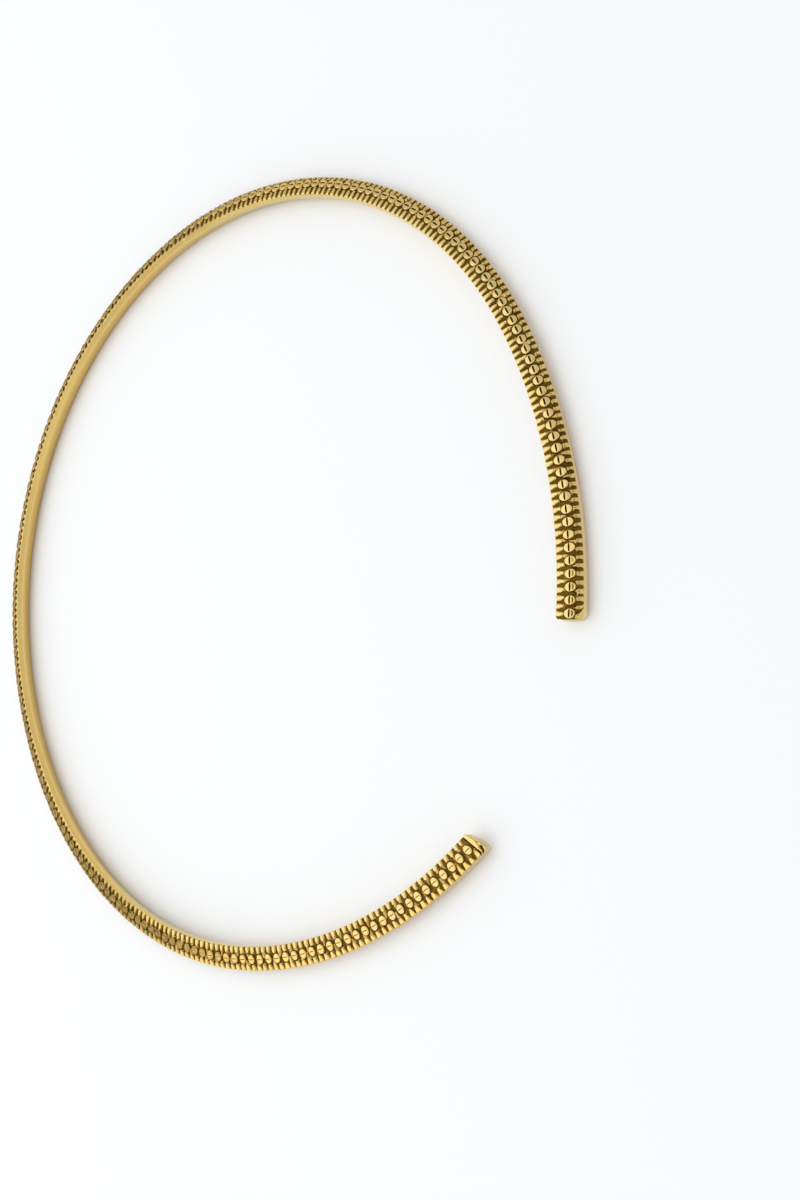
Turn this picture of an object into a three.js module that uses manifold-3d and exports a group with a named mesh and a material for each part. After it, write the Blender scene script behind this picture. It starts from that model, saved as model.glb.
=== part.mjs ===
// Open neck ring (torc) of gold-coloured metal: one strip of patterned wire, bent by hand into a ring.
// Millimetres, +Z up. The ring lies on the outer corner of its back on z = 0, with its opening towards -Y.

import * as THREE from 'three';
import { mergeVertices } from 'three/addons/utils/BufferGeometryUtils.js';
import Module from 'manifold-3d';

const degrees = THREE.MathUtils.degToRad;
const FULL_TURN = 2 * Math.PI;

// Bend of the ring. Angles run from -Y (the middle of the opening) through +X, seen from above.
const RING_RADIUS = 66.9; // middle of the patterned face
const OVAL = 2; // the ring is this much longer than round along its long axis, and shorter across it
const OVAL_DIRECTION = degrees(-32);
const UNEVENNESS = 0.15; // of a bend that was made by hand
const RIGHT_FLARE = 6.8; // each arm opens out towards its end
const LEFT_FLARE = 5.7;
const FLARE_SPAN = degrees(60);
const START_ANGLE = degrees(12); // the strip is bent a little too long, then cut at both ends
const FINISH_ANGLE = degrees(348.5);

// Tilt of the patterned face above the horizontal plane, outwards and up. The arms twist flatter.
const BACK_TILT = degrees(64.5);
const RIGHT_TILT = degrees(85);
const LEFT_TILT = degrees(73.5);
const RIGHT_TWIST_SPAN = degrees(107);
const LEFT_TWIST_SPAN = degrees(144);

// Section of the strip
const FACE_WIDTH = 4;
const RIGHT_WIDENING = 0.7; // the right arm is a little wider towards its end, as far as it flares
const WALL_HEIGHT = 1.1; // plain side wall, square to the face
const RIGHT_WALL_EXTRA = 0.8; // the walls are taller towards the ends
const RIGHT_TALL_TO = degrees(26);
const RIGHT_LOW_FROM = degrees(56);
const LEFT_WALL_EXTRA = 0.7;
const LEFT_TALL_TO = degrees(20);
const LEFT_LOW_FROM = degrees(36);
const DEPTH = 2.5; // from the edge of the face to the back, which is narrower than the face
const BACK_INSET = 1.35; // on each side
const LAND = 0.4; // worn flat on the lowest corner of the back, which the ring lies on
const PLAIN_STEP = 5; // spacing of the facets along the plain back and walls

// Pattern: a row of round bosses between two rows of ribs
const BOSS_COUNT = 195;
const BOSS_HALF_LENGTH = 0.76; // along the strip
const BOSS_HALF_WIDTH = 0.86;
const BOSS_SIDES = 8;
const RIGHT_ROW = -0.3; // the row drifts from a little outside the middle of the face to inside it
const LEFT_ROW = 0.08;
const BOSS_TOP = 0.46; // levels are above the edges of the face
const BOSS_FOOT = 0.05;
const GAP_HALF_WIDTH = 0.35; // of the floor between two bosses
const RIBS_PER_BOSS = 19 / 12; // the ribs keep their own beat
const OUTER_NOTCH = 0.4;
const INNER_NOTCH = 0.3;
const INNER_RIB_SHIFT = 0.35; // in rib pitches, between the inner and the outer row of ribs

// Ends. The right end is cut through a boss, the left end runs on past the last one.
const RIGHT_CUT = 3.4; // cut off the bent strip, along its middle
const LEFT_CUT = 4.15;
const FIRST_BOSS = 0.8; // from the right end
const LAST_BOSS = 2.1; // from the left end
const LEFT_LIP = 0.8; // plain end of the left arm
const RIGHT_CORNER = 1.4; // rounding of the outer corner of each end
const LEFT_CORNER = 0.6;
const INNER_CORNER = 0.5;
const LEFT_SLANT = degrees(15.5);
const LEFT_UNDERCUT = degrees(12);
const CUTTER_LENGTH = 8;
const CUTTER_HALF_WIDTH = 4;
const CUTTER_DEPTH = 8;
const CORNER_SEGMENTS = 4;

const fade = (x) => THREE.MathUtils.clamp(1 - x, 0, 1) ** 2;
const blend = (x) => THREE.MathUtils.smoothstep(1 - x, 0, 1);

// The middle of the strip, seen from above
class CentreLine extends THREE.Curve {
  angle(t) {
    return THREE.MathUtils.lerp(START_ANGLE, FINISH_ANGLE, t);
  }

  getPoint(t, target = new THREE.Vector3()) {
    const angle = this.angle(t);
    const radius = RING_RADIUS
      + OVAL * Math.cos(2 * (angle - OVAL_DIRECTION))
      - UNEVENNESS * Math.cos(3 * angle)
      + RIGHT_FLARE * fade(angle / FLARE_SPAN)
      + LEFT_FLARE * fade((FULL_TURN - angle) / FLARE_SPAN);
    return target.set(radius * Math.sin(angle), -radius * Math.cos(angle), 0);
  }
}

const centreLine = new CentreLine();
centreLine.arcLengthDivisions = 4000;
const LENGTH = centreLine.getLength();
const RIGHT_END = RIGHT_CUT;
const LEFT_END = LENGTH - LEFT_CUT;
const BOSS_PITCH = (LEFT_END - LAST_BOSS - RIGHT_END - FIRST_BOSS) / (BOSS_COUNT - 1);
const RIB_PITCH = BOSS_PITCH / RIBS_PER_BOSS;

// Local axes of the strip at a distance along it: along it, across it (towards the inside of the ring and up)
// and out of its patterned face
function stripFrame(distance) {
  const t = centreLine.getUtoTmapping(0, distance);
  const angle = centreLine.angle(t);
  const along = centreLine.getTangent(t);
  const outward = new THREE.Vector3(along.y, -along.x, 0);
  const up = new THREE.Vector3(0, 0, 1);
  const tilt = BACK_TILT
    + (RIGHT_TILT - BACK_TILT) * blend(angle / RIGHT_TWIST_SPAN)
    + (LEFT_TILT - BACK_TILT) * blend((FULL_TURN - angle) / LEFT_TWIST_SPAN);
  const cos = Math.cos(tilt);
  const sin = Math.sin(tilt);
  const across = outward.clone().multiplyScalar(-sin).addScaledVector(up, cos);
  const out = outward.clone().multiplyScalar(cos).addScaledVector(up, sin);
  const half = (FACE_WIDTH + RIGHT_WIDENING * fade(angle / FLARE_SPAN)) / 2;
  const wall = WALL_HEIGHT
    + RIGHT_WALL_EXTRA * blend((angle - RIGHT_TALL_TO) / (RIGHT_LOW_FROM - RIGHT_TALL_TO))
    + LEFT_WALL_EXTRA * blend((FULL_TURN - angle - LEFT_TALL_TO) / (LEFT_LOW_FROM - LEFT_TALL_TO));
  const middle = centreLine.getPoint(t);
  const backHalf = half - BACK_INSET;
  middle.z = backHalf * cos + DEPTH * sin;
  return { along, across, out, middle, half, backHalf, wall, sin, cos };
}

// Place of the row of bosses across the face
function bossRow(distance) {
  return THREE.MathUtils.lerp(RIGHT_ROW, LEFT_ROW, distance / LENGTH);
}

// Evenly spaced distances along the strip, from end to end
function evenSteps(step) {
  const count = Math.round(LENGTH / step);
  return Array.from({ length: count + 1 }, (_, i) => (LENGTH * i) / count);
}

// Distances of the rib crests and of the notches between them, as {distance, notched}
function ribSteps(shift) {
  const steps = [{ distance: 0, notched: false }];
  for (let half = 1; ; half += 1) {
    const distance = (half / 2 + shift) * RIB_PITCH;
    if (distance > LENGTH - RIB_PITCH / 2) {
      break;
    }
    const notched = half % 2 === 1 && distance < LEFT_END - LEFT_LIP;
    steps.push({ distance, notched });
  }
  steps.push({ distance: LENGTH, notched: false });
  return steps;
}

// A surface that grows point by point and triangle by triangle
class Surface {
  positions = [];

  triangles = [];

  addPoint(distance, u, v) {
    const { middle, across, out } = stripFrame(distance);
    middle.addScaledVector(across, u).addScaledVector(out, v);
    this.positions.push(...middle);
    return { distance, u, index: this.positions.length / 3 - 1 };
  }

  addTriangle(a, b, c) {
    this.triangles.push(a.index, b.index, c.index);
  }

  // Fills the band between two neighbouring rows, which may be spaced differently
  joinRows(first, second) {
    let i = 0;
    let j = 0;
    while (i < first.length - 1 || j < second.length - 1) {
      const firstNext = first[i + 1]?.distance ?? Infinity;
      const secondNext = second[j + 1]?.distance ?? Infinity;
      if (firstNext <= secondNext) {
        this.addTriangle(first[i], second[j], first[i + 1]);
        i += 1;
      } else {
        this.addTriangle(first[i], second[j], second[j + 1]);
        j += 1;
      }
    }
  }

  // Fills an outline on the face, given anticlockwise
  fill(outline) {
    const flat = outline.map((point) => new THREE.Vector2(point.distance, point.u));
    for (const [a, b, c] of THREE.ShapeUtils.triangulateShape(flat, [])) {
      this.addTriangle(outline[a], outline[b], outline[c]);
    }
  }

  geometry() {
    const geometry = new THREE.BufferGeometry();
    geometry.setAttribute('position', new THREE.Float32BufferAttribute(this.positions, 3));
    geometry.setIndex(this.triangles);
    return geometry;
  }
}

// One boss. Returns the ring of points at its foot, anticlockwise, the inner half first.
function addBoss(surface, distance) {
  const ring = (level) => Array.from({ length: BOSS_SIDES }, (_, i) => {
    const turn = (FULL_TURN * (i + 0.5)) / BOSS_SIDES;
    const along = BOSS_HALF_LENGTH * Math.cos(turn);
    const across = bossRow(distance) + BOSS_HALF_WIDTH * Math.sin(turn);
    return surface.addPoint(distance + along, across, level);
  });
  const foot = ring(BOSS_FOOT);
  const top = ring(BOSS_TOP);
  surface.fill(top);
  foot.forEach((corner, i) => {
    const next = (i + 1) % BOSS_SIDES;
    surface.addTriangle(corner, foot[next], top[i]);
    surface.addTriangle(foot[next], top[next], top[i]);
  });
  return foot;
}

// The whole strip: rows of points run along it, in order round its section from the land
function stripGeometry() {
  const surface = new Surface();
  const edgeRow = (side, shift, notch) => ribSteps(shift).map(({ distance, notched }) => (
    surface.addPoint(distance, side * stripFrame(distance).half, notched ? -notch : 0)));
  const plainRow = (place) => evenSteps(PLAIN_STEP).map((distance) => (
    surface.addPoint(distance, ...place(stripFrame(distance)))));
  const landRow = (side) => plainRow(({ backHalf, sin, cos }) => [
    (side * LAND * sin) / 2 - backHalf,
    (-side * LAND * cos) / 2 - DEPTH,
  ]);
  const innerLand = landRow(1);
  const innerBack = plainRow(({ backHalf }) => [backHalf, -DEPTH]);
  const innerWall = plainRow(({ half, wall }) => [half, -wall]);
  const innerEdge = edgeRow(1, INNER_RIB_SHIFT, INNER_NOTCH);
  const innerFeet = [surface.addPoint(0, RIGHT_ROW + GAP_HALF_WIDTH, BOSS_FOOT)];
  const outerFeet = [surface.addPoint(0, RIGHT_ROW - GAP_HALF_WIDTH, BOSS_FOOT)];
  const outerEdge = edgeRow(-1, 0, OUTER_NOTCH);
  const outerWall = plainRow(({ half, wall }) => [-half, -wall]);
  const outerLand = landRow(-1);

  // The floor between two bosses is a small four-cornered gap
  const fillGap = (inner, outer) => surface.fill([outerFeet.at(-1), outer, inner, innerFeet.at(-1)]);
  for (let i = 0; i < BOSS_COUNT; i += 1) {
    const foot = addBoss(surface, RIGHT_END + FIRST_BOSS + i * BOSS_PITCH);
    const innerHalf = foot.slice(0, BOSS_SIDES / 2).toReversed();
    const outerHalf = foot.slice(BOSS_SIDES / 2);
    fillGap(innerHalf[0], outerHalf[0]);
    innerFeet.push(...innerHalf);
    outerFeet.push(...outerHalf);
  }
  const innerLast = surface.addPoint(LENGTH, LEFT_ROW + GAP_HALF_WIDTH, BOSS_FOOT);
  const outerLast = surface.addPoint(LENGTH, LEFT_ROW - GAP_HALF_WIDTH, BOSS_FOOT);
  fillGap(innerLast, outerLast);
  innerFeet.push(innerLast);
  outerFeet.push(outerLast);

  const rows = [
    innerLand, innerBack, innerWall, innerEdge, innerFeet, outerFeet, outerEdge, outerWall, outerLand,
  ];
  rows.forEach((row, i) => {
    if (row !== innerFeet) {
      surface.joinRows(row, rows[(i + 1) % rows.length]);
    }
  });
  for (let i = 1; i < rows.length - 1; i += 1) {
    surface.addTriangle(innerLand[0], rows[i + 1][0], rows[i][0]);
    surface.addTriangle(innerLand.at(-1), rows[i].at(-1), rows[i + 1].at(-1));
  }
  return surface.geometry();
}

// Places a shape whose X runs along the strip, Y across it and Z out of its face
function onStrip(geometry, distance) {
  const { along, across, out, middle } = stripFrame(distance);
  const matrix = new THREE.Matrix4().makeBasis(along, across, out).setPosition(middle);
  return geometry.applyMatrix4(matrix);
}

// What is cut off beyond an end. It has two rounded corners, and may slant or lean back under the face.
function endCutterGeometry(distance, direction, outerCorner, slant, undercut) {
  const { half } = stripFrame(distance);
  const outline = new THREE.Shape();
  outline.moveTo(CUTTER_LENGTH, -CUTTER_HALF_WIDTH);
  outline.lineTo(CUTTER_LENGTH, CUTTER_HALF_WIDTH);
  outline.lineTo(-INNER_CORNER, CUTTER_HALF_WIDTH);
  outline.absarc(-INNER_CORNER, half - INNER_CORNER, INNER_CORNER, Math.PI / 2, 0, true);
  outline.absarc(-outerCorner, outerCorner - half, outerCorner, 0, -Math.PI / 2, true);
  outline.lineTo(-outerCorner, -CUTTER_HALF_WIDTH);
  const cutter = new THREE.ExtrudeGeometry(outline, {
    depth: CUTTER_DEPTH,
    bevelEnabled: false,
    curveSegments: CORNER_SEGMENTS,
  });
  cutter.translate(0, 0, -CUTTER_DEPTH / 2);
  cutter.rotateY(undercut);
  cutter.rotateZ(slant);
  if (direction < 0) {
    cutter.rotateX(Math.PI);
    cutter.rotateZ(Math.PI);
  }
  return onStrip(cutter, distance);
}

const wasm = await Module();
wasm.setup();

function solid(geometry) {
  const bare = geometry.clone();
  bare.deleteAttribute('normal');
  bare.deleteAttribute('uv');
  const merged = mergeVertices(bare);
  return new wasm.Manifold(new wasm.Mesh({
    numProp: 3,
    vertProperties: new Float32Array(merged.attributes.position.array),
    triVerts: new Uint32Array(merged.index.array),
  }));
}

function geometryOf(body) {
  const mesh = body.getMesh();
  const geometry = new THREE.BufferGeometry();
  geometry.setAttribute('position', new THREE.BufferAttribute(new Float32Array(mesh.vertProperties), 3));
  geometry.setIndex(new THREE.BufferAttribute(new Uint32Array(mesh.triVerts), 1));
  return geometry;
}

function torcGeometry() {
  let body = solid(stripGeometry());
  body = body.subtract(solid(endCutterGeometry(RIGHT_END, -1, RIGHT_CORNER, 0, 0)));
  body = body.subtract(solid(endCutterGeometry(LEFT_END, 1, LEFT_CORNER, LEFT_SLANT, LEFT_UNDERCUT)));
  const geometry = geometryOf(body);

  // The origin goes under the middle of the ring, on the surface it lies on
  geometry.computeBoundingBox();
  const centre = geometry.boundingBox.getCenter(new THREE.Vector3());
  return geometry.translate(-centre.x, -centre.y, -geometry.boundingBox.min.z);
}

const gold = new THREE.MeshStandardMaterial({ color: 0xc9a24f, roughness: 0.35, metalness: 1 });

const torc = new THREE.Mesh(torcGeometry(), gold);
torc.name = 'torc';

const group = new THREE.Group();
group.add(torc);

export default group;
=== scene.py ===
"""Looks of an open neck ring (torc) of gold-coloured patterned wire, lying on a pale floor.

Same frame as the solid: +Z up, the opening of the ring towards -Y. Sizes of the ring are in millimetres, and
its mesh is turned into metres at the end, when the straight strip is bent into the ring. Sizes of the lights
and of the floor are in metres.
"""

import math

import bmesh
import bpy
import numpy as np
from mathutils import Matrix, Vector


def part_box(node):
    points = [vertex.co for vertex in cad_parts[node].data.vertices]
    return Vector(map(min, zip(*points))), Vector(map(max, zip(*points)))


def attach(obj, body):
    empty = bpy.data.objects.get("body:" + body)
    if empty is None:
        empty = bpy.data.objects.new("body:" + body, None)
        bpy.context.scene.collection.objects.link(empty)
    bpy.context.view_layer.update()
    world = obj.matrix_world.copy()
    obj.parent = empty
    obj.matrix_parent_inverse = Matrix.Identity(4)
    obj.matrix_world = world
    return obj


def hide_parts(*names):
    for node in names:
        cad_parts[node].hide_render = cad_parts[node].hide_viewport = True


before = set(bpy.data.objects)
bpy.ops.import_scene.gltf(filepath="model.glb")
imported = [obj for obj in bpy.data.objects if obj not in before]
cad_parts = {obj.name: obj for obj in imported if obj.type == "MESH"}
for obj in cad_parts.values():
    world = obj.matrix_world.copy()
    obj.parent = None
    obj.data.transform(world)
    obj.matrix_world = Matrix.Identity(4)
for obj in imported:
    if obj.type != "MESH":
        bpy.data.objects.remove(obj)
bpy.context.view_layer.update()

MM = 0.001
SAME_PLACE = 1e-5  # mm, between points that count as one
SEED = 11
random = np.random.default_rng(SEED)

# Photo: the picture's size and what the camera looks at
PHOTO_WIDTH = 800
PHOTO_HEIGHT = 1200
FOCAL_PIXELS = 1795.2
RING_CENTRE_PIXEL = (248.5, 559.5)
CAMERA_AZIMUTH = math.radians(12.714)
CAMERA_ELEVATION = math.radians(42.708)
CAMERA_ROLL = math.radians(-76.584)
CAMERA_DISTANCE = 313.9  # from the middle of the ring, at the height of its face at the back
SENSOR = 36
CLIP_START = 0.01  # metres

# Light: an even, slightly cool surround, a large soft window to the lower left in the photo and a weak low
# fill from the right. Azimuths run from +Y towards -X.
WORLD_COLOUR = (0.955, 0.98, 1.0)
WORLD_RADIANCE = 0.8
KEY_COLOUR = (1.0, 0.98, 0.95)
KEY_RADIANCE = 0.68
KEY_SIZE = 1.25
KEY_DISTANCE = 0.6
KEY_AZIMUTH = math.radians(45)
KEY_ELEVATION = math.radians(48)
FILL_COLOUR = (1.0, 0.99, 0.97)
FILL_RADIANCE = 0.17
FILL_SIZE = 0.6
FILL_DISTANCE = 0.8
FILL_AZIMUTH = math.radians(171)
FILL_ELEVATION = math.radians(9)

# Bend of the ring. Angles run from -Y (the middle of the opening) through +X, seen from above.
RING_RADIUS = 66.9
OVAL = 2
OVAL_DIRECTION = math.radians(-32)
UNEVENNESS = 0.15
RIGHT_FLARE = 6.8
LEFT_FLARE = 5.7
FLARE_SPAN = math.radians(60)
START_ANGLE = math.radians(12)
FINISH_ANGLE = math.radians(348.5)
BACK_TILT = math.radians(64.5)
RIGHT_TILT = math.radians(85)
LEFT_TILT = math.radians(73.5)
RIGHT_TWIST_SPAN = math.radians(107)
LEFT_TWIST_SPAN = math.radians(144)
CENTRE_LINE_POINTS = 20001

# Section of the strip
FACE_WIDTH = 4
RIGHT_WIDENING = 0.7
WALL_HEIGHT = 1.1
RIGHT_WALL_EXTRA = 0.8  # the walls are taller towards the ends
RIGHT_EDGE_DROP = 0.35  # and the right arm's outer ribs and notches drop further there
RIGHT_NOTCH_DROP = 0.28
RIGHT_TALL_TO = math.radians(26)  # angles from the middle of the opening
RIGHT_LOW_FROM = math.radians(56)
LEFT_WALL_EXTRA = 0.7
LEFT_TALL_TO = math.radians(20)
LEFT_LOW_FROM = math.radians(36)
DEPTH = 2.5
BACK_INSET = 1.35
LAND = 0.4
WALL_BULGE = 0.04
FLANK_BULGE = 0.05
SHOULDER_ROUNDING = 0.1
EDGE_ROUNDING = 0.08
OUTER_FOOT = -0.35  # the plain walls start below the notches
INNER_FOOT = -0.4
PLAIN_STEP = 1.4

# Ends
RIGHT_CUT = 3.4
LEFT_CUT = 4.15
FIRST_BOSS = 0.8
LAST_BOSS = 2.1
RIGHT_CORNER = 1.4
LEFT_CORNER = 0.6
INNER_CORNER = 0.5
LEFT_SLANT = math.radians(15.5)
LEFT_UNDERCUT = math.radians(12)
END_SPAN = 3.4  # the pattern is squeezed over this length to follow the shape of an end
END_ROUNDING = 0.3  # the face drops over this length at both ends
END_DROP = 0.16
OVERRUN = 0.4  # the straight strip runs on past its ends, and is cut there

# The left end has a groove, a bar, a short second groove and a plain lip, given as distances from the end
END_GROOVE = (1.2, 0.27)  # middle and half width
LIP_GROOVE = (0.17, 0.19)
LIP_TAPER = 0.25  # the lip is wider on its outer side
LIP_NOTCH_FROM = (0.6, 0.9)  # the second groove is only cut on the outer side
CHIP_HALF = 0.25  # and in a small chip in the middle, which fades out at twice this
CHIP_PATINA = 0.7
BAR_LEVEL = 0.3
BAR_SLOPE = 0.2
LIP_LEVEL = 0.06
END_GROOVE_LEVEL = -0.2
LIP_STEPS = 15

# Bosses
BOSS_COUNT = 195
BOSS_SEGMENTS = 24
RIGHT_ROW = -0.3  # place of the row across the face
LEFT_ROW = 0.08
RIGHT_BOSS = (0.72, 0.9)  # half length and half width, at the right end
MIDDLE_BOSS = (0.85, 0.8)  # along the right arm
LEFT_BOSS = (0.63, 0.79)
MIDDLE_FROM = (0.06, 0.14)  # shares of the strip's length over which one form turns into the next
LEFT_FROM = (0.55, 0.9)
BOSS_RIM = 0.06
BOSS_FOOT_WIDTH = 0.04
BOSS_TOP = 0.46
BOSS_DOME = 0.09
RIM_PATINA = 0.1
BOSS_SHIFT = 0.025  # how far hand work strays
BOSS_SPREAD = 0.03  # as a share of the boss's size
BOSS_LIFT = 0.02
BOSS_TILT = 0.04
RIGHT_SLIT = (0.62, 0.15)  # half length and half width
LEFT_SLIT = (0.5, 0.06)
SLIT_FULLNESS = 0.6
SLIT_DEPTH = 0.26
SLIT_LIP = 0.03
SLIT_PATINA = 0.8
SLIT_FLOOR = (0.9, 0.6)  # size of the slit's floor and of its worn edge, as shares of the slit's
SLIT_EDGE = (1.03, 1.15)
DENTED_BOSSES = 9  # the first bosses also have a dent in their outer half
DENT_DEPTH = 0.07
DENT_SPAN = (0.5, 0.85)
DENT_PATINA = 2  # past 1, so that most of the dent is dark
TOP_RINGS = (0.25, 0.6)  # places of two rings of points between the slit and the rim
GROUND_RING = 0.5  # and of one between the foot and the edge of the cell
CELL_HALF_WIDTH = 1.12

# Ribs, the outer ones first and then the inner ones. Widths are half widths as shares of the ribs' pitch: at
# the point and in full, and then the share of the rib's length over which it widens.
RIGHT_RIBS = ((0.10, 0.25, 0.6), (0.10, 0.30, 1.0))
LEFT_RIBS = ((0.11, 0.38, 1.0), (0.08, 0.30, 0.9))
RIBS_PER_BOSS = 19 / 12
RIB_STATIONS = 10  # points along each rib's pitch
STATION_CLEARANCE = 0.02  # from both ends of the strip
SPARE_RIBS = 3
RIB_SHIFT = 0.05  # how far hand work strays, in rib pitches
RIB_SPREAD = 0.12  # as a share of the rib's width
RIB_LIFT = 0.03
RIB_LINES = (0.08, 0.27, 0.48, 0.7, 0.88)  # places of the rows of points, from the bosses to the edge
INNER_RIB_SHIFT = 0.35
RIB_ROOT = 0.15  # the ribs' points reach this far in between the bosses
RIB_CREST = 0.38
RIGHT_DROP = (0.35, 0.34)  # how far the crest drops towards the edge
LEFT_DROP = (0.18, 0.2)
RIB_CROWN = 0.07
CROWN_LIMIT = 1.2  # in half widths of the rib
GROOVE_LEVEL = 0.0
FLANK = 0.05
MOAT = 0.15
RIGHT_NOTCH = (0.25, 0.03)  # how far the grooves' floors sink towards the edge
LEFT_NOTCH = (0.2, 0.1)
RIGHT_RISE = ((1, 2), (1, 2))  # where they then rise to the rim. Grooves that rise past 1 stay open.
LEFT_RISE = ((0.8, 1.1), (0.9, 1.4))
BACK_RISE = ((0.75, 1), (0.55, 0.9))
DIMPLE_PLACE = 0.7  # small leaf-shaped dent in each outer rib of the right arm
DIMPLE_SIZE = (0.11, 0.11)
DIMPLE_DEPTH = 0.16

# Patina and painted light, from -2 for a painted sheen on the plain walls and -1 for rubbed and pale, partly
# a painted highlight, to 1 for dark patina. The back is darker than the arms: painted shade, partly a duller
# patina.
BACK_FROM = (0.16, 0.42)  # shares of the strip's length
BACK_TO = (0.72, 0.9)
BOSS_SHADE_TO = (0.785, 0.96)
# Boss tops and rib crests are pale along the arms, rubbed and partly a painted highlight. Along the back
# they and the rims of the grooves are darker: painted shade, partly a duller patina.
BRIGHT_BOSS, BACK_BOSS_SHADE = -0.8, 0.7
RIGHT_RIB_RUBBED_HIGHLIGHT = (-0.5, -0.6)
LEFT_RIB_RUBBED_HIGHLIGHT = (-0.15, -0.45)
BACK_RIB_SHADE = 0.6
BACK_RIM_SHADE = 0.3
BRIGHT_END = -0.6
RIGHT_GROOVE, LEFT_GROOVE = 1, 0.84
# Painted sheen on the plain walls and flanks: strong along the arms, weak along the back.
WALL_SHEEN, BACK_WALL_SHEEN = -2, -0.2
BACK_FLANK_SHEEN = -0.1

# Materials. Colours in pairs are mixed by a noise, given as its scale and detail.
METAL_COLOURS = ((0.79, 0.54, 0.165), (0.82, 0.575, 0.195))
DIRT_COLOURS = ((0.075, 0.038, 0.004), (0.2, 0.13, 0.014))
TINT_NOISE = (260, 3)
# Pale colour of rubbed crests and boss tops, partly a painted highlight.
RUBBED_HIGHLIGHT_COLOUR = (0.68, 0.55, 0.255)
# Colour of the painted sheen on the plain walls and flanks of the arms.
SHEEN_COLOUR = (0.93, 0.7, 0.38)
STAIN_NOISE = (900, 4)  # breaks up the edges of the dirt
STAIN_AMOUNT = 0.5
DIRT_FROM = (0.25, 1.15)  # of the patina and painted shade, with its stains
ROUGHNESS = (0.26, 0.55)  # of clean metal and of dirt
SHARP_ANGLE = math.radians(38)
FLOOR_HALF = 3
FLOOR_COLOUR = (0.912, 0.915, 0.92)
FLOOR_ROUGHNESS = 0.6
FLOOR_SPECULAR = 0.2


def fade(x):
    """1 up to 0, falling to 0 at 1."""
    return np.clip(1 - x, 0, 1) ** 2


def ease(x):
    """0 up to 0, rising smoothly to 1 at 1."""
    t = np.clip(x, 0, 1)
    return t * t * (3 - 2 * t)


def mix(a, b, t):
    return a + (b - a) * t


def rise(x, start, end):
    """0 up to the start, rising smoothly to 1 at the end."""
    return ease((x - start) / (end - start))


def centre_line(angle):
    radius = RING_RADIUS + OVAL * np.cos(2 * (angle - OVAL_DIRECTION)) - UNEVENNESS * np.cos(3 * angle)
    radius = radius + RIGHT_FLARE * fade(angle / FLARE_SPAN)
    radius = radius + LEFT_FLARE * fade((2 * np.pi - angle) / FLARE_SPAN)
    return np.stack([radius * np.sin(angle), -radius * np.cos(angle), 0 * angle], axis=-1)


ANGLES = np.linspace(START_ANGLE, FINISH_ANGLE, CENTRE_LINE_POINTS)
STEPS = np.linalg.norm(np.diff(centre_line(ANGLES), axis=0), axis=1)
DISTANCES = np.concatenate([[0], np.cumsum(STEPS)])
LENGTH = DISTANCES[-1]
RIGHT_END = RIGHT_CUT
LEFT_END = LENGTH - LEFT_CUT
BOSS_PITCH = (LEFT_END - LAST_BOSS - RIGHT_END - FIRST_BOSS) / (BOSS_COUNT - 1)
RIB_PITCH = BOSS_PITCH / RIBS_PER_BOSS
CELL = BOSS_PITCH / 2  # half the length of the cell that each boss sits in
START = RIGHT_END + FIRST_BOSS - CELL
FINISH = LEFT_END + OVERRUN


def angle_at(distance):
    return np.interp(distance, DISTANCES, ANGLES)


def left_share(distance):
    """0 along the right arm and most of the back, 1 along the left arm."""
    return rise(distance / LENGTH, *LEFT_FROM)


# Share of the back: it sets the painted shade along the back and the shape of the grooves there.
def back_share(distance, end=BACK_TO):
    """0 along the arms, 1 along the back."""
    share = distance / LENGTH
    return rise(share, *BACK_FROM) * (1 - rise(share, *end))


def groove_patina(distance):
    return mix(RIGHT_GROOVE, LEFT_GROOVE, left_share(distance))


def boss_row(distance):
    """Place of the row of bosses across the face."""
    return mix(RIGHT_ROW, LEFT_ROW, distance / LENGTH)


def half_width(distance):
    return (FACE_WIDTH + RIGHT_WIDENING * fade(angle_at(distance) / FLARE_SPAN)) / 2


def right_tall(distance):
    """1 where the walls of the right arm are tall, 0 where they are low."""
    return 1 - rise(angle_at(distance), RIGHT_TALL_TO, RIGHT_LOW_FROM)


def wall_height(distance):
    left = 1 - rise(2 * np.pi - angle_at(distance), LEFT_TALL_TO, LEFT_LOW_FROM)
    return WALL_HEIGHT + RIGHT_WALL_EXTRA * right_tall(distance) + LEFT_WALL_EXTRA * left


def tilt_at(distance):
    angle = angle_at(distance)
    tilt = BACK_TILT + (RIGHT_TILT - BACK_TILT) * ease(1 - angle / RIGHT_TWIST_SPAN)
    return tilt + (LEFT_TILT - BACK_TILT) * ease(1 - (2 * np.pi - angle) / LEFT_TWIST_SPAN)


def bend(points):
    """Takes points of the straight strip (distance, across, height) to their places in the ring."""
    distance, across, height = points.T
    angle = angle_at(distance)
    step = 1e-4
    along = centre_line(angle + step) - centre_line(angle - step)
    along /= np.linalg.norm(along, axis=1)[:, None]
    outward = np.stack([along[:, 1], -along[:, 0], 0 * angle], axis=-1)
    up = np.array([0.0, 0.0, 1.0])
    tilt = tilt_at(distance)
    cos, sin = np.cos(tilt), np.sin(tilt)
    across_axis = cos[:, None] * up - sin[:, None] * outward
    out_axis = cos[:, None] * outward + sin[:, None] * up
    middle = centre_line(angle)
    middle[:, 2] = (half_width(distance) - BACK_INSET) * cos + DEPTH * sin
    return middle + across_axis * across[:, None] + out_axis * height[:, None]


RIB_COUNT = int(FINISH / RIB_PITCH) + SPARE_RIBS
RIB_STRAY = random.uniform(-RIB_SHIFT, RIB_SHIFT, (2, RIB_COUNT))
RIB_WIDER = random.uniform(1 - RIB_SPREAD, 1 + RIB_SPREAD, (2, RIB_COUNT))
RIB_HIGHER = random.uniform(-RIB_LIFT, RIB_LIFT, (2, RIB_COUNT))


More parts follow.
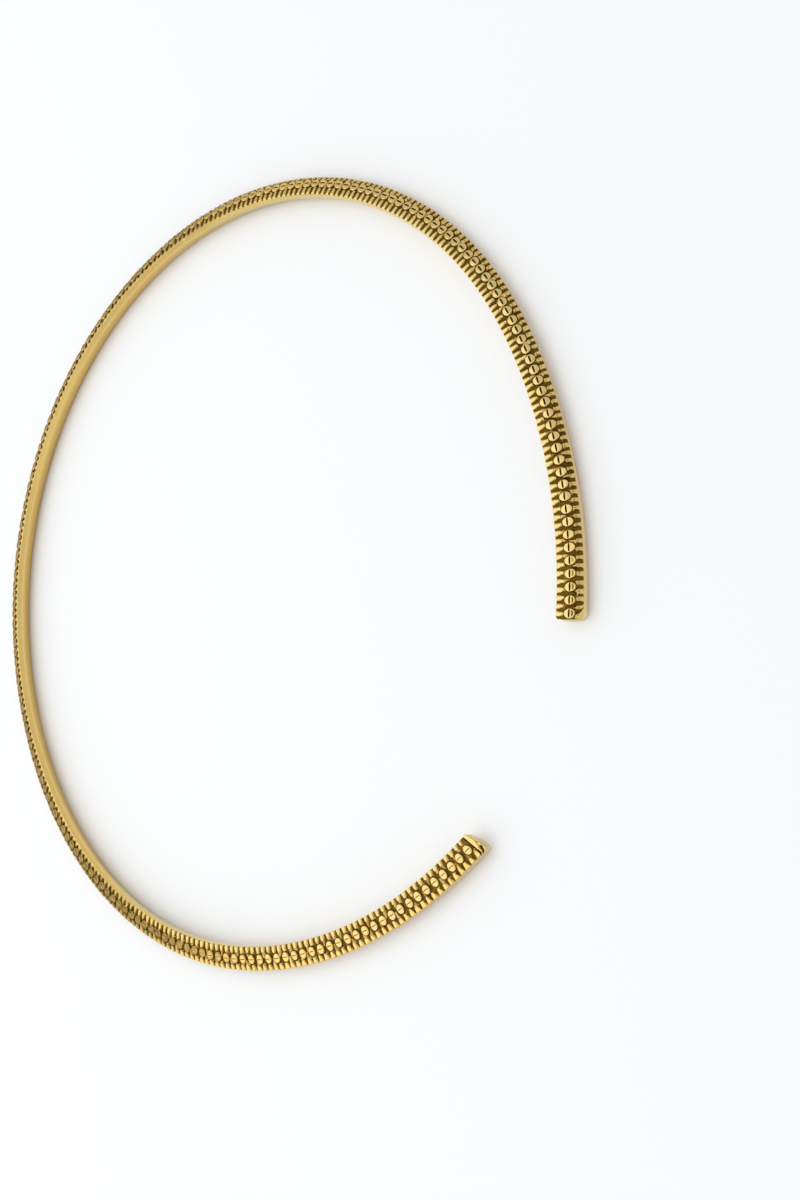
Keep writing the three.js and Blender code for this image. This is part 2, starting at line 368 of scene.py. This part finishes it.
def left_end_relief(from_end, across):
    """Height and patina of the grooves, bar and lip past the last boss."""
    def band(middle, half):
        """1 in the middle half of a groove, easing to 0 at its edges."""
        return ease(2 * (1 - np.abs(from_end - middle) / half))

    notch = rise(-across, *LIP_NOTCH_FROM)
    chip = CHIP_PATINA * ease(2 - np.abs(across) / CHIP_HALF)
    lip = LIP_GROOVE[0] - LIP_TAPER * across
    depth = np.maximum(band(*END_GROOVE), band(lip, LIP_GROOVE[1]) * np.maximum(notch, chip))
    crest = mix(LIP_LEVEL, BAR_LEVEL, rise(from_end, lip, lip + BAR_SLOPE))
    return mix(crest, END_GROOVE_LEVEL, depth), mix(BRIGHT_END, 1, depth)


def by_side(right, left, side, share):
    """Values of the outer or the inner row, changing from the right arm's to the left arm's."""
    return mix(np.array(right)[side], np.array(left)[side], share)


def rib_relief(distance, across):
    """Height, and patina with painted light, of the ribs and grooves beside the bosses."""
    aside = across - boss_row(distance)
    inner = aside > SAME_PLACE
    side = inner.astype(int)
    arm = left_share(distance)
    at_back = back_share(distance)
    reach = half_width(distance) - np.where(inner, 1, -1) * boss_row(distance)
    to_edge = np.clip((np.abs(aside) - RIB_ROOT) / (reach - RIB_ROOT), 0, 1)

    place = distance / RIB_PITCH - np.where(inner, INNER_RIB_SHIFT, 0)
    number = np.clip(np.round(place).astype(int), 0, RIB_COUNT - 1)
    off = np.abs(place - number - RIB_STRAY[side, number])
    shape = by_side(RIGHT_RIBS, LEFT_RIBS, side, arm[..., None])
    point, full, span = np.moveaxis(shape, -1, 0)
    width = mix(point, full, ease(to_edge / span)) * RIB_WIDER[side, number]
    on_rib = ease((width + FLANK - off) / (2 * FLANK))

    over_edge = right_tall(distance) * (1 - side)
    drop = by_side(RIGHT_DROP, LEFT_DROP, side, arm) + RIGHT_EDGE_DROP * over_edge
    notch = by_side(RIGHT_NOTCH, LEFT_NOTCH, side, arm) + RIGHT_NOTCH_DROP * over_edge
    crest = RIB_CREST - drop * to_edge ** 2 + RIB_HIGHER[side, number]
    crest = crest - RIB_CROWN * np.minimum(off / width, CROWN_LIMIT) ** 2
    dimple = np.exp(-((to_edge - DIMPLE_PLACE) / DIMPLE_SIZE[0]) ** 2 - (off / DIMPLE_SIZE[1]) ** 2)
    dimple = dimple * (1 - arm) * (1 - side)
    open_rise = by_side(RIGHT_RISE, LEFT_RISE, side, arm[..., None])
    back_rise = np.array(BACK_RISE)[side]
    rise_from, rise_to = np.moveaxis(mix(open_rise, back_rise, at_back[..., None] ** 2), -1, 0)
    rim = rise(to_edge, rise_from, rise_to)
    floor = mix(GROOVE_LEVEL - notch * to_edge, RIB_CREST - drop, rim)
    height = mix(floor, crest - DIMPLE_DEPTH * dimple, on_rib)
    depth = np.maximum((1 - on_rib) * (1 - rim), dimple)
    bright = by_side(RIGHT_RIB_RUBBED_HIGHLIGHT, LEFT_RIB_RUBBED_HIGHLIGHT, side, arm)
    # Pale rib crests along the arms are rubbed, partly a painted highlight; darker ribs and rims along the
    # back are painted shade, partly a duller patina.
    patina_and_painted_light = mix(mix(bright, BACK_RIB_SHADE, at_back), groove_patina(distance), depth)
    patina_and_painted_light = mix(patina_and_painted_light, BACK_RIM_SHADE, rim * at_back ** 2)

    from_end = LEFT_END - distance
    end_height, end_patina = left_end_relief(from_end, across)
    at_end = from_end < END_GROOVE[0]
    return np.where(at_end, end_height, height), np.where(at_end, end_patina, patina_and_painted_light)


def near_bosses(distance, across, bosses):
    """Distance from the edge of the nearer of the two bosses on either side."""
    before = np.floor((distance - START - CELL) / BOSS_PITCH).astype(int)
    gaps = []
    for number in (before, before + 1):
        boss = bosses[np.clip(number, 0, BOSS_COUNT - 1)]
        length, width = boss[..., 2], boss[..., 3]
        away = np.hypot((distance - boss[..., 0]) / length, (across - boss[..., 1]) / width)
        gaps.append((away - 1) * (length + width) / 2)
    return np.minimum(*gaps)


class Relief:
    """The strip while it is straight: points as (distance, across, height), their patina and painted light,
    and faces.
    """

    def __init__(self):
        self.points = []
        self.patina_and_painted_light = []
        self.faces = []

    def add_row(self, distance, across, height, patina_and_painted_light):
        first = len(self.points)
        row = np.stack(np.broadcast_arrays(distance, across, height), axis=-1).astype(float)
        self.points.extend(map(tuple, row))
        self.patina_and_painted_light.extend(np.broadcast_to(patina_and_painted_light, len(row)).astype(float))
        return list(range(first, first + len(row)))

    def join_rings(self, inner, outer):
        for i in range(len(inner)):
            j = (i + 1) % len(inner)
            self.faces.append((inner[i], outer[i], outer[j], inner[j]))

    def join_rows(self, first, second):
        """Fills the band between two rows, which may be spaced differently. The second is further in."""
        i, j = 0, 0
        along = self.points
        while i < len(first) - 1 or j < len(second) - 1:
            next_first = along[first[i + 1]][0] if i < len(first) - 1 else math.inf
            next_second = along[second[j + 1]][0] if j < len(second) - 1 else math.inf
            if abs(next_first - next_second) < SAME_PLACE:
                self.faces.append((first[i], first[i + 1], second[j + 1], second[j]))
                i += 1
                j += 1
            elif next_first < next_second:
                self.faces.append((first[i], first[i + 1], second[j]))
                i += 1
            else:
                self.faces.append((first[i], second[j + 1], second[j]))
                j += 1


def cell_middle(number):
    return START + CELL + number * BOSS_PITCH


def scatter_bosses():
    """A row for each boss: distance, across, half length, half width, level, lean along, lean across."""
    stray = random.uniform(-1, 1, (BOSS_COUNT, 6))
    at = cell_middle(np.arange(BOSS_COUNT))
    arm = left_share(at)
    size = 1 + BOSS_SPREAD * stray[:, 2]
    middle = rise(at / LENGTH, *MIDDLE_FROM)
    return np.stack([
        at + BOSS_SHIFT * stray[:, 0],
        boss_row(at) + BOSS_SHIFT * stray[:, 1],
        mix(mix(RIGHT_BOSS[0], MIDDLE_BOSS[0], middle), LEFT_BOSS[0], arm) * size,
        mix(mix(RIGHT_BOSS[1], MIDDLE_BOSS[1], middle), LEFT_BOSS[1], arm) * size,
        BOSS_TOP + BOSS_LIFT * stray[:, 3],
        BOSS_TILT * stray[:, 4],
        BOSS_TILT * stray[:, 5],
    ], axis=-1)


def ground_relief(distance, across, bosses):
    """Ribs and grooves, with the moat that runs round each boss."""
    height, patina_and_painted_light = rib_relief(distance, across)
    clear = ease(near_bosses(distance, across, bosses) / MOAT)
    return mix(GROOVE_LEVEL, height, clear), mix(groove_patina(distance), patina_and_painted_light, clear)


def add_boss(relief, bosses, number):
    """A slotted boss and the ground round it, out to its cell. Returns the cell's rim."""
    at, aside, half_length, half_boss, level, lean_along, lean_across = bosses[number]
    size = np.array([[half_length], [half_boss]])
    turn = 2 * np.pi * np.arange(BOSS_SEGMENTS) / BOSS_SEGMENTS
    circle = np.stack([np.cos(turn), np.sin(turn)])
    slit_length, slit_width = mix(np.array(RIGHT_SLIT), np.array(LEFT_SLIT), left_share(at))
    lens = np.stack([
        slit_length * circle[0],
        slit_width * np.sign(circle[1]) * np.abs(circle[1]) ** SLIT_FULLNESS,
    ])
    bottom = lens * np.array(SLIT_FLOOR)[:, None]
    lip = lens * np.array(SLIT_EDGE)[:, None]
    rim = (size - BOSS_RIM) * circle
    edge = size * circle
    foot = (size + BOSS_FOOT_WIDTH) * circle
    square = circle / np.abs(circle).max(axis=0)
    cell_at = cell_middle(number) + CELL * square[0]
    cell = np.stack([cell_at - at, boss_row(cell_at) + CELL_HALF_WIDTH * square[1] - aside])
    # Boss top: pale along the arms, rubbed and partly a painted highlight; darker along the back, painted
    # shade.
    bright = mix(BRIGHT_BOSS, BACK_BOSS_SHADE, back_share(at, BOSS_SHADE_TO))
    dent = ease(1 - number / DENTED_BOSSES) * rise(-circle[1], *DENT_SPAN)

    def top(ring):
        dome = BOSS_DOME * ((ring / size) ** 2).sum(axis=0)
        return level - dome + lean_along * ring[0] + lean_across * ring[1]

    def add(ring, height, patina_and_painted_light):
        return relief.add_row(at + ring[0], aside + ring[1], height, patina_and_painted_light)

    def add_ground(ring):
        return add(ring, *ground_relief(at + ring[0], aside + ring[1], bosses))

    near_slit, halfway = (mix(lip, rim, place) for place in TOP_RINGS)
    rings = [
        add(bottom, top(bottom) - SLIT_DEPTH, 1),
        add(lens, top(lens) - SLIT_LIP, SLIT_PATINA),
        add(lip, top(lip), 0),
        add(near_slit, top(near_slit), bright),
        add(halfway, top(halfway) - DENT_DEPTH * dent, mix(bright, DENT_PATINA, dent)),
        add(rim, top(rim), bright),
        add(edge, top(edge) - BOSS_RIM, RIM_PATINA),
        add(foot, GROOVE_LEVEL, groove_patina(at)),
        add_ground(mix(foot, cell, GROUND_RING)),
        add_ground(cell),
    ]
    for inside, outside in zip(rings, rings[1:]):
        relief.join_rings(inside, outside)
    floor = rings[0]
    last = BOSS_SEGMENTS // 2 - 1
    relief.faces.append((floor[0], floor[1], floor[-1]))
    for i in range(1, last):
        relief.faces.append((floor[i], floor[i + 1], floor[-i - 1], floor[-i]))
    relief.faces.append((floor[last], floor[last + 1], floor[-last]))
    return rings[-1]


def rib_stations(shift):
    first = math.ceil((START / RIB_PITCH - shift) * RIB_STATIONS)
    last = math.floor((FINISH / RIB_PITCH - shift) * RIB_STATIONS)
    between = (np.arange(first, last + 1) / RIB_STATIONS + shift) * RIB_PITCH
    between = between[
        (between > START + STATION_CLEARANCE) & (between < FINISH - STATION_CLEARANCE)
    ]
    return np.concatenate([[START], between, [FINISH]])


def add_rib_rows(relief, side, bosses):
    """Rows of points from beside the bosses to one edge of the face. side is 1 for the inner edge."""
    sign = 1 if side else -1
    at = rib_stations(INNER_RIB_SHIFT if side else 0)
    half = half_width(at)
    start = boss_row(at) + sign * CELL_HALF_WIDTH
    shoulder = sign * (half - EDGE_ROUNDING)
    rows = []
    for line in RIB_LINES:
        across = mix(start, shoulder, line)
        rows.append(relief.add_row(at, across, *ground_relief(at, across, bosses)))
    height, patina_and_painted_light = ground_relief(at, shoulder, bosses)
    rows.append(relief.add_row(at, shoulder, height, patina_and_painted_light))
    rows.append(relief.add_row(at, sign * half, height - EDGE_ROUNDING, patina_and_painted_light))
    return rows


def side_places(foot, wall):
    """Points down one plain side of the section, as (inset from the edge of the face, height)."""
    slope = BACK_INSET / (DEPTH - wall)
    return [
        (0, foot),
        (-WALL_BULGE, (foot - wall) / 2),
        (0, SHOULDER_ROUNDING - wall),
        (slope * SHOULDER_ROUNDING, -SHOULDER_ROUNDING - wall),
        (BACK_INSET / 2 - FLANK_BULGE, -(wall + DEPTH) / 2),
    ]


def plain_rows(relief):
    """The plain inner side, back, land and outer side, in order round the section."""
    count = int(round((FINISH - START) / PLAIN_STEP))
    at = np.linspace(START, FINISH, count + 1)
    half = half_width(at)
    back = half - BACK_INSET
    level = LAND / 2 * np.sin(tilt_at(at))
    drop = LAND / 2 * np.cos(tilt_at(at))
    wall = wall_height(at)
    outer_foot = OUTER_FOOT - RIGHT_NOTCH_DROP * right_tall(at)
    inner = [(half - inset, height) for inset, height in side_places(INNER_FOOT, wall)]
    outer = [(inset - half, height) for inset, height in side_places(outer_foot, wall)]
    bottom = [(back, -DEPTH), (level - back, -drop - DEPTH), (-level - back, drop - DEPTH)]
    places = [*inner, *bottom, *reversed(outer)]
    # The plain walls and flanks carry a painted sheen, strong along the arms and weak along the back.
    bright = mix(WALL_SHEEN, BACK_WALL_SHEEN, back_share(at))
    flank = mix(WALL_SHEEN, BACK_FLANK_SHEEN, back_share(at))
    rows = []
    for across, height in places:
        patina_and_painted_light = np.where(height > -wall, bright, flank)
        rows.append(relief.add_row(at, across, height, patina_and_painted_light))
    return rows


def add_lip(relief, rim):
    """The face past the last boss, whose cell has the given rim. Yields the points at both its sides."""
    eighth = BOSS_SEGMENTS // 8
    column = [rim[i] for i in range(-eighth, eighth + 1)]
    across = np.array([relief.points[i][1] for i in column])
    start = relief.points[column[0]][0]
    for distance in np.linspace(start, FINISH, LIP_STEPS + 1)[1:]:
        at = np.full(len(across), distance)
        following = relief.add_row(at, across, *rib_relief(at, across))
        for i in range(len(column) - 1):
            relief.faces.append((column[i], following[i], following[i + 1], column[i + 1]))
        column = following
        yield column[-1], column[0]


def straight_strip():
    relief = Relief()
    bosses = scatter_bosses()
    eighth = BOSS_SEGMENTS // 8
    inner_side = []
    outer_side = []
    for number in range(BOSS_COUNT):
        rim = add_boss(relief, bosses, number)
        inner_side += [rim[i] for i in range(3 * eighth, eighth - 1, -1)]
        outer_side += [rim[i] for i in range(5 * eighth, 7 * eighth + 1)]
    for inner, outer in add_lip(relief, rim):
        inner_side.append(inner)
        outer_side.append(outer)
    outer_ribs = add_rib_rows(relief, 0, bosses)
    inner_ribs = add_rib_rows(relief, 1, bosses)
    plain = plain_rows(relief)
    section = [outer_side, *outer_ribs, *reversed(plain), *reversed(inner_ribs), inner_side]
    for inside, outside in zip(section, section[1:]):
        relief.join_rows(outside, inside)
    return relief


def cut_end(mesh, distance, direction):
    """Cuts the straight strip square across and closes it."""
    everything = mesh.verts[:] + mesh.edges[:] + mesh.faces[:]
    cut = bmesh.ops.bisect_plane(
        mesh, geom=everything, plane_co=(distance, 0, 0), plane_no=(direction, 0, 0), clear_outer=True)
    rim = [edge for edge in cut["geom_cut"] if isinstance(edge, bmesh.types.BMEdge)]
    bmesh.ops.contextual_create(mesh, geom=rim)


def corner_inset(across, half, outer_corner):
    """How far a rounded corner of an end stands back."""
    corner = np.where(across > 0, INNER_CORNER, outer_corner)
    into = np.clip(np.abs(across) - (half - corner), 0, corner)
    return corner - np.sqrt(corner ** 2 - into ** 2)


def shape_ends(points):
    """Rounds the corners of both ends, slants and undercuts the left one, and rounds off their faces."""
    distance, across, height = points.T
    half = half_width(distance)
    shaped = points.copy()
    from_right = distance - RIGHT_END
    from_left = LEFT_END - distance
    shaped[:, 0] += corner_inset(across, half, RIGHT_CORNER) * fade(from_right / END_SPAN)
    left_inset = corner_inset(across, half, LEFT_CORNER) + math.tan(LEFT_SLANT) * across
    left_inset = left_inset - math.tan(LEFT_UNDERCUT) * height
    shaped[:, 0] -= left_inset * fade(from_left / END_SPAN)
    drop = END_DROP * (fade(from_right / END_ROUNDING) + fade(from_left / END_ROUNDING))
    shaped[:, 2] -= drop * np.clip((height - INNER_FOOT) / -INNER_FOOT, 0, 1)
    return shaped


def torc_object(material):
    """The whole ring, and how far it was moved from its bend's middle to the solid's place."""
    relief = straight_strip()
    mesh = bpy.data.meshes.new("torc_relief")
    mesh.from_pydata(relief.points, [], relief.faces)
    # Per point: patina, painted shade along the back, and painted highlight and sheen.
    patina_and_painted_light = mesh.attributes.new("patina_and_painted_light", "FLOAT", "POINT")
    patina_and_painted_light.data.foreach_set("value", np.array(relief.patina_and_painted_light, np.float32))

    work = bmesh.new()
    work.from_mesh(mesh)
    bmesh.ops.remove_doubles(work, verts=work.verts[:], dist=SAME_PLACE)
    cut_end(work, RIGHT_END, -1)
    cut_end(work, LEFT_END, 1)
    bmesh.ops.dissolve_degenerate(work, edges=work.edges[:], dist=SAME_PLACE)
    bmesh.ops.triangulate(work, faces=work.faces[:])
    bmesh.ops.recalc_face_normals(work, faces=work.faces[:])
    work.to_mesh(mesh)
    work.free()

    points = np.empty(len(mesh.vertices) * 3, np.float32)
    mesh.vertices.foreach_get("co", points)
    placed = bend(shape_ends(points.reshape(-1, 3).astype(float))) * MM
    low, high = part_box("torc")
    box_middle = (np.array(low) + np.array(high)) / 2
    own_middle = (placed.min(axis=0) + placed.max(axis=0)) / 2
    move = box_middle - own_middle
    move[2] = low.z - placed[:, 2].min()
    placed += move
    mesh.vertices.foreach_set("co", placed.ravel().astype(np.float32))
    mesh.update()
    mesh.shade_smooth()
    mesh.set_sharp_from_angle(angle=SHARP_ANGLE)
    mesh.materials.append(material)
    torc = bpy.data.objects.new("torc_relief", mesh)
    bpy.context.scene.collection.objects.link(torc)
    return torc, Vector(move)


def noise(tree, scale, detail):
    place = tree.nodes.new("ShaderNodeTexCoord")
    node = tree.nodes.new("ShaderNodeTexNoise")
    node.inputs["Scale"].default_value = scale
    node.inputs["Detail"].default_value = detail
    tree.links.new(place.outputs["Object"], node.inputs["Vector"])
    return node.outputs["Fac"]


def map_range(tree, value, from_range, to_range=(0, 1), kind="LINEAR"):
    node = tree.nodes.new("ShaderNodeMapRange")
    node.interpolation_type = kind
    node.inputs["From Min"].default_value = from_range[0]
    node.inputs["From Max"].default_value = from_range[1]
    node.inputs["To Min"].default_value = to_range[0]
    node.inputs["To Max"].default_value = to_range[1]
    tree.links.new(value, node.inputs["Value"])
    return node.outputs["Result"]


def mix_colours(tree, factor, first, second):
    """Mixes two colours, each given as numbers or as the output of another node."""
    node = tree.nodes.new("ShaderNodeMix")
    node.data_type = "RGBA"
    tree.links.new(factor, node.inputs["Factor"])
    for name, colour in (("A", first), ("B", second)):
        if isinstance(colour, tuple):
            node.inputs[name].default_value = (*colour, 1)
        else:
            tree.links.new(colour, node.inputs[name])
    return node.outputs["Result"]


def gold_material():
    """Gold that is pale where it is rubbed, partly a painted highlight, paler still in a painted sheen on
    the plain walls, and dark brown to olive in the grooves and, as painted shade, along the back.
    """
    material = bpy.data.materials.new("gold")
    material.use_nodes = True
    tree = material.node_tree
    shader = tree.nodes["Principled BSDF"]
    patina_and_painted_light = tree.nodes.new("ShaderNodeAttribute")
    patina_and_painted_light.attribute_name = "patina_and_painted_light"
    stained = tree.nodes.new("ShaderNodeMath")
    stained.operation = "MULTIPLY_ADD"
    stained.inputs[1].default_value = STAIN_AMOUNT
    tree.links.new(noise(tree, *STAIN_NOISE), stained.inputs[0])
    tree.links.new(patina_and_painted_light.outputs["Fac"], stained.inputs[2])
    dark = map_range(tree, stained.outputs["Value"], DIRT_FROM, kind="SMOOTHSTEP")
    # Pale where rubbed, partly a painted highlight, and paler still where a sheen is painted on the plain
    # walls.
    rubbed_highlight = map_range(tree, patina_and_painted_light.outputs["Fac"], (0, -1))
    wall_sheen = map_range(tree, patina_and_painted_light.outputs["Fac"], (-1, -2))
    tint = noise(tree, *TINT_NOISE)

    metal = mix_colours(tree, tint, *METAL_COLOURS)
    metal = mix_colours(tree, rubbed_highlight, metal, RUBBED_HIGHLIGHT_COLOUR)
    metal = mix_colours(tree, wall_sheen, metal, SHEEN_COLOUR)
    dirt = mix_colours(tree, tint, *DIRT_COLOURS)
    tree.links.new(mix_colours(tree, dark, metal, dirt), shader.inputs["Base Color"])
    tree.links.new(map_range(tree, dark, (0, 1), ROUGHNESS), shader.inputs["Roughness"])
    shader.inputs["Metallic"].default_value = 1
    return material


def floor_object():
    mesh = bpy.data.meshes.new("floor")
    corners = [(FLOOR_HALF * x, FLOOR_HALF * y, 0) for x, y in ((-1, -1), (1, -1), (1, 1), (-1, 1))]
    mesh.from_pydata(corners, [], [(0, 1, 2, 3)])
    material = bpy.data.materials.new("floor_white")
    material.use_nodes = True
    shader = material.node_tree.nodes["Principled BSDF"]
    shader.inputs["Base Color"].default_value = (*FLOOR_COLOUR, 1)
    shader.inputs["Roughness"].default_value = FLOOR_ROUGHNESS
    shader.inputs["Specular IOR Level"].default_value = FLOOR_SPECULAR
    mesh.materials.append(material)
    floor = bpy.data.objects.new("floor", mesh)
    bpy.context.scene.collection.objects.link(floor)
    return floor


def camera(ring_middle):
    """The photo's camera, from its direction, distance and roll and where the ring's middle shows."""
    away = Vector((
        math.cos(CAMERA_ELEVATION) * math.sin(CAMERA_AZIMUTH),
        -math.cos(CAMERA_ELEVATION) * math.cos(CAMERA_AZIMUTH),
        math.sin(CAMERA_ELEVATION),
    ))
    level = (-away).cross(Vector((0, 0, 1))).normalized()
    upright = level.cross(-away)
    right = math.cos(CAMERA_ROLL) * level + math.sin(CAMERA_ROLL) * upright
    up = math.cos(CAMERA_ROLL) * upright - math.sin(CAMERA_ROLL) * level
    aside = (RING_CENTRE_PIXEL[0] - PHOTO_WIDTH / 2) / FOCAL_PIXELS
    below = (PHOTO_HEIGHT / 2 - RING_CENTRE_PIXEL[1]) / FOCAL_PIXELS
    ahead = (-away - aside * right - below * up).normalized()
    right = (right - right.dot(ahead) * ahead).normalized()
    up = right.cross(ahead)
    turn = Matrix((right, up, -ahead)).transposed()
    place = ring_middle + CAMERA_DISTANCE * MM * away

    data = bpy.data.cameras.new("camera")
    data.sensor_width = SENSOR
    data.lens = FOCAL_PIXELS * SENSOR / PHOTO_HEIGHT
    data.clip_start = CLIP_START
    made = bpy.data.objects.new("camera", data)
    made.matrix_world = Matrix.Translation(place) @ turn.to_4x4()
    bpy.context.scene.collection.objects.link(made)
    bpy.context.scene.camera = made


def softbox(name, colour, radiance, size, distance, azimuth, elevation):
    """A square light that faces the middle of the ring. Its azimuth runs from +Y towards -X."""
    data = bpy.data.lights.new(name, "AREA")
    data.shape = "SQUARE"
    data.size = size
    data.color = colour
    data.energy = math.pi * size ** 2 * radiance
    direction = Vector((
        -math.cos(elevation) * math.sin(azimuth),
        math.cos(elevation) * math.cos(azimuth),
        math.sin(elevation),
    ))
    light = bpy.data.objects.new(name, data)
    light.location = direction * distance
    light.rotation_euler = direction.to_track_quat("Z", "Y").to_euler()
    bpy.context.scene.collection.objects.link(light)


def studio():
    world = bpy.data.worlds.new("studio")
    world.use_nodes = True
    background = world.node_tree.nodes["Background"]
    background.inputs["Color"].default_value = (*WORLD_COLOUR, 1)
    background.inputs["Strength"].default_value = WORLD_RADIANCE
    bpy.context.scene.world = world
    softbox("key", KEY_COLOUR, KEY_RADIANCE, KEY_SIZE, KEY_DISTANCE, KEY_AZIMUTH, KEY_ELEVATION)
    softbox("fill", FILL_COLOUR, FILL_RADIANCE, FILL_SIZE, FILL_DISTANCE, FILL_AZIMUTH, FILL_ELEVATION)
    bpy.context.scene.view_settings.view_transform = "Standard"


torc, torc_move = torc_object(gold_material())
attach(torc, "root")
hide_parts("torc")
floor_object()
face_level = (FACE_WIDTH / 2 - BACK_INSET) * math.cos(BACK_TILT) + DEPTH * math.sin(BACK_TILT)
camera(torc_move + Vector((0, 0, face_level * MM)))
studio()
